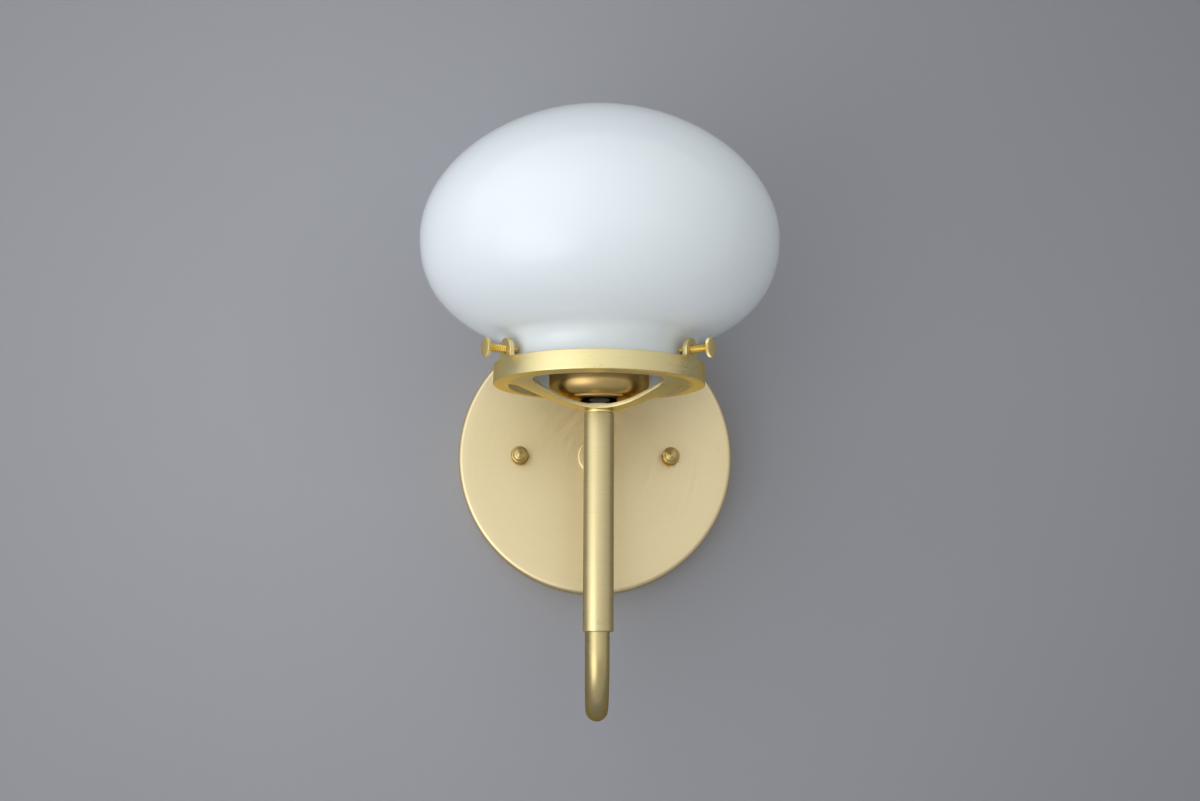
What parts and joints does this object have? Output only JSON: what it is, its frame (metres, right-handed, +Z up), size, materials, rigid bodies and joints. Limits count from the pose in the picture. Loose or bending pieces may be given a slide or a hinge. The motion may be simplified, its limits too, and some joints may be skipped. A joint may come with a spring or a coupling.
{
  "type": "wall sconce",
  "caption": "Uplighter wall sconce: round brass canopy, hooked tube arm and upright sleeve with a dished holder that carries an opal glass shade by thumbscrews.",
  "frame": {"origin": "centre of the canopy in the plane of the wall, which is also the middle of the crossbar's back face and of its two box screw slots", "axes": "+Z up, +Y into the wall and along the box screws, +X to the right as seen from the room"},
  "size_m": [0.1524, 0.1778, 0.2587],
  "materials": {
    "satin_brass": "satin, fine brushed",
    "yellow_brass": "satin, turned and brushed",
    "polished_brass": "polished",
    "aged_brass": "satin, darker",
    "cup_brass": "satin, brown-gold",
    "shell_brass": "pressed, bright",
    "zinc_steel": "zinc plated",
    "dark_steel": "blackened",
    "green_screw": "green dyed",
    "copper": "bare copper",
    "opal_glass": "opal, glossy",
    "frosted_glass": "frosted inside",
    "bulb_metal": "pressed",
    "phenolic": "moulded",
    "black_insulation": "extruded",
    "white_insulation": "extruded",
    "orange_plastic": "moulded"
  },
  "bodies": {
    "wall_part": {"canopy": "satin_brass", "crossbar": "zinc_steel", "canopy_studs": "zinc_steel", "stud_locknuts": "zinc_steel", "ground_screw": "green_screw", "ground_wire": "copper", "arm": "satin_brass", "arm_seating_ring": "satin_brass", "arm_lock_washer": "zinc_steel", "arm_locknut": "zinc_steel", "sleeve": "satin_brass", "nipple": "zinc_steel", "shade_holder": "yellow_brass", "holder_locknut": "dark_steel", "socket_cup": "cup_brass", "cup_nut": "zinc_steel", "socket_body": "phenolic", "screw_shell": "shell_brass", "centre_contact": "shell_brass", "terminal_screws": "polished_brass", "hot_wire": "black_insulation", "neutral_wire": "white_insulation", "wire_nuts": "orange_plastic", "ground_crimp": "copper"},
    "shade": {"glass_neck": "opal_glass", "glass_belly": "opal_glass", "glass_shade": "opal_glass", "glass_crown": "opal_glass", "glass_top": "opal_glass"},
    "bulb": {"bulb_cap": "bulb_metal", "bulb_globe": "frosted_glass"},
    "thumbscrew_left": {"thumbscrew_left": "polished_brass"},
    "thumbscrew_right": {"thumbscrew_right": "polished_brass"},
    "thumbscrew_back": {"thumbscrew_back": "polished_brass"},
    "canopy_nut_left": {"canopy_nut_left": "aged_brass"},
    "canopy_nut_right": {"canopy_nut_right": "aged_brass"}
  },
  "joints": [
    {"name": "shade_lift", "type": "slide", "parent": "wall_part", "child": "shade", "axis": [0, 0, 1], "range_m": [0, 0.1]},
    {"name": "bulb_out", "type": "slide", "parent": "wall_part", "child": "bulb", "axis": [0, 0, 1], "range_m": [0, 0.021]},
    {"name": "screw_left_out", "type": "slide", "parent": "wall_part", "child": "thumbscrew_left", "axis": [-0.8829, -0.4695, 0], "range_m": [0, 0.0045]},
    {"name": "screw_right_out", "type": "slide", "parent": "wall_part", "child": "thumbscrew_right", "axis": [0.848, -0.5299, 0], "range_m": [0, 0.0045]},
    {"name": "screw_back_out", "type": "slide", "parent": "wall_part", "child": "thumbscrew_back", "axis": [0.0349, 0.9994, 0], "range_m": [0, 0.0045]},
    {"name": "nut_left_off", "type": "slide", "parent": "wall_part", "child": "canopy_nut_left", "axis": [0, -1, 0], "range_m": [0, 0.009]},
    {"name": "nut_right_off", "type": "slide", "parent": "wall_part", "child": "canopy_nut_right", "axis": [0, -1, 0], "range_m": [0, 0.009]}
  ]
}
